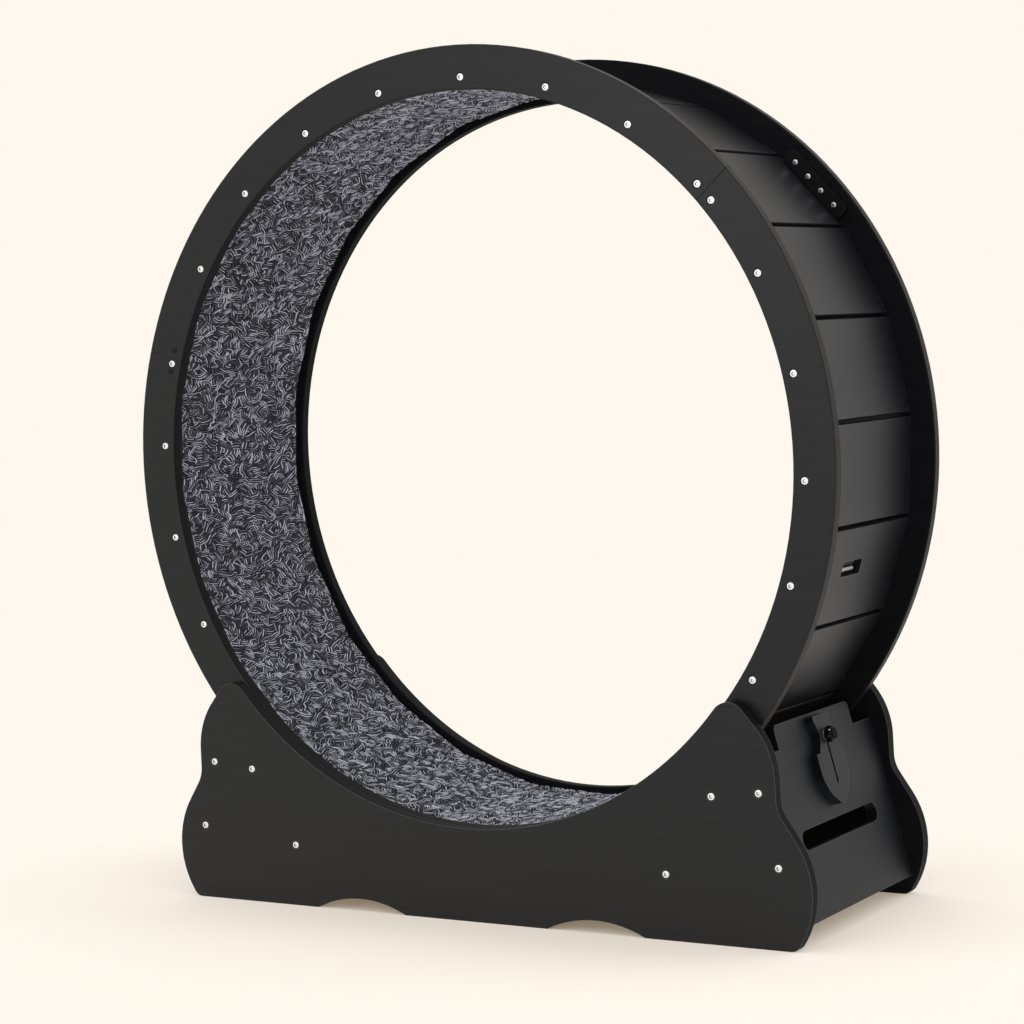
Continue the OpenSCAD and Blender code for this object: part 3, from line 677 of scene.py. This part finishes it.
bend = rng.uniform(-1, 1, lie.shape) ** 3
bend = np.where(np.abs(bend) < STRAIGHTEST, STRAIGHTEST, bend)
bend_radius = for_kept((TIGHTEST_BEND / bend)[:, :, None])
turned = (reach / bend_radius)[..., None]
from_centre = (for_kept(line_offsets[..., 0]) - bend_radius)[..., None]
lines = (for_kept(seeds[:, :, None]) + bend_radius[..., None] * for_kept(aside)
         + from_centre * (np.cos(turned) * for_kept(aside) - np.sin(turned) * for_kept(along)))

WAVES = 16
WAVE_LENGTHS = (mm(8), mm(30))
WAVE_SWAY = mm(0.4)

for _ in range(WAVES):
    heading = rng.uniform(0, math.tau)
    length = rng.uniform(*WAVE_LENGTHS)
    cycles = round(runner_length / length * math.cos(heading))
    phase = (cycles * math.tau / runner_length * lines[..., 0]
             + math.tau / length * math.sin(heading) * lines[..., 1] + rng.uniform(0, math.tau))
    push = rng.uniform(0, math.tau)
    lines = lines + WAVE_SWAY * np.sin(phase)[..., None] * [math.cos(push), math.sin(push)]

EDGE_MARGIN = mm(1.4)

edge = plan_half - EDGE_MARGIN
lines = lines[np.abs(lines[..., 1]).min(axis=1) < edge]
lines[..., 1] = np.clip(lines[..., 1], -edge, edge)
print(len(lines), "yarns")

# %% [markdown]
# Each yarn becomes an arched loop of solution-dyed nylon: four corners round its section, a
# little lower at both ends where it dives into the backing, with its own height and shade.
# Its crown is bright and its flanks and ends are darker, a painted shade for the little
# light that comes down between loops. Its fibres scatter what they mirror, so it is quite
# dull. Its unrolled place is kept as a map in three rows, so that a baked texture has even
# texels.

# %% Carpet pile
YARN_WIDTH = mm(1.9)
PILE = outer_apothem - BACKING - inner_apothem
# Corners of a yarn's section: share of its width aside, and of its height up
SECTION = [(-0.5, -0.1), (-0.1, 1), (0.1, 1), (0.5, -0.1)]
# Painted shade over a yarn's section corners: dark flanks, a bright crown
SECTION_SHADE = [0, 1, 1, 0]
HEIGHTS = (0.7, 1.0)
TONES = (0.45, 1)
# Shares of its height and width that a yarn loses at its ends
END_DROP, END_TAPER = 0.35, 0.25

near_end = np.abs(2 * shares - 1) ** 6
arch = (1 - END_DROP * near_end)[..., None]
taper = (1 - END_TAPER * near_end)[..., None]
run = np.gradient(lines, axis=1)
run /= np.linalg.norm(run, axis=-1, keepdims=True)
sideways = np.stack([-run[..., 1], run[..., 0]], axis=-1)
heights = rng.uniform(*HEIGHTS, (len(lines), 1, 1))
offsets, lifts = np.transpose(SECTION) * [[YARN_WIDTH], [PILE]]
places = lines[:, :, None] + sideways[:, :, None] * (taper * offsets)[..., None]
places[..., 1] *= DRAWN_OUT
lift = np.broadcast_to(arch * heights * lifts, places.shape[:3])
points = drum_points(places[..., 0], places[..., 1], outer_apothem - BACKING - lift).reshape(-1, 3)
corner = np.arange(lift.size).reshape(lift.shape)
quads = np.stack([corner[:, :-1, :-1], corner[:, 1:, :-1],
                  corner[:, 1:, 1:], corner[:, :-1, 1:]], axis=-1).reshape(-1, 4)

material, tree, shader = new_material("grey_loop_yarn")
tone_and_shade_node = add_node(tree, "ShaderNodeAttribute", attribute_name="yarn_tone_and_shade")
shade = add_ramp(tree, tone_and_shade_node.outputs["Fac"], [(0, "#08080A"), (0.5, "#4A4A52"), (1, "#EEEEF8")])
tree.links.new(shade, shader.inputs["Base Color"])
shader.inputs["Roughness"].default_value = 0.85
shader.inputs["Specular IOR Level"].default_value = 0.2
pile = mesh_of_quads("carpet_pile", points, quads, material)
# Each yarn's random tone times a painted shade that darkens its flanks and its ends
tones_and_shade = rng.uniform(*TONES, (len(lines), 1, 1)) * arch * np.array(SECTION_SHADE)
yarn_tone_and_shade = pile.data.attributes.new("yarn_tone_and_shade", "FLOAT", "POINT")
yarn_tone_and_shade.data.foreach_set("value", tones_and_shade.astype(np.float32).ravel())

MAP_ROWS = 3
MAP_MARGIN = 0.01
MAP_SCALE = 1 - 2 * MAP_MARGIN
third = np.floor(lines[:, 0, 0] % runner_length / runner_length * MAP_ROWS)[:, None, None]
map_u = places[..., 0] % runner_length / runner_length * MAP_ROWS - third
map_u = map_u * MAP_SCALE + MAP_MARGIN
map_v = (third + (places[..., 1] / half_width / 2 + 0.5) * MAP_SCALE + MAP_MARGIN) / MAP_ROWS
unrolled = np.clip(np.stack([map_u, map_v], axis=-1), 0, 1).reshape(-1, 2)
pile.data.uv_layers.new(name="OFBake").data.foreach_set("uv", unrolled[quads.ravel()].ravel())

print(f"pile {PILE * 1000:.1f} mm high, {len(quads)} faces")
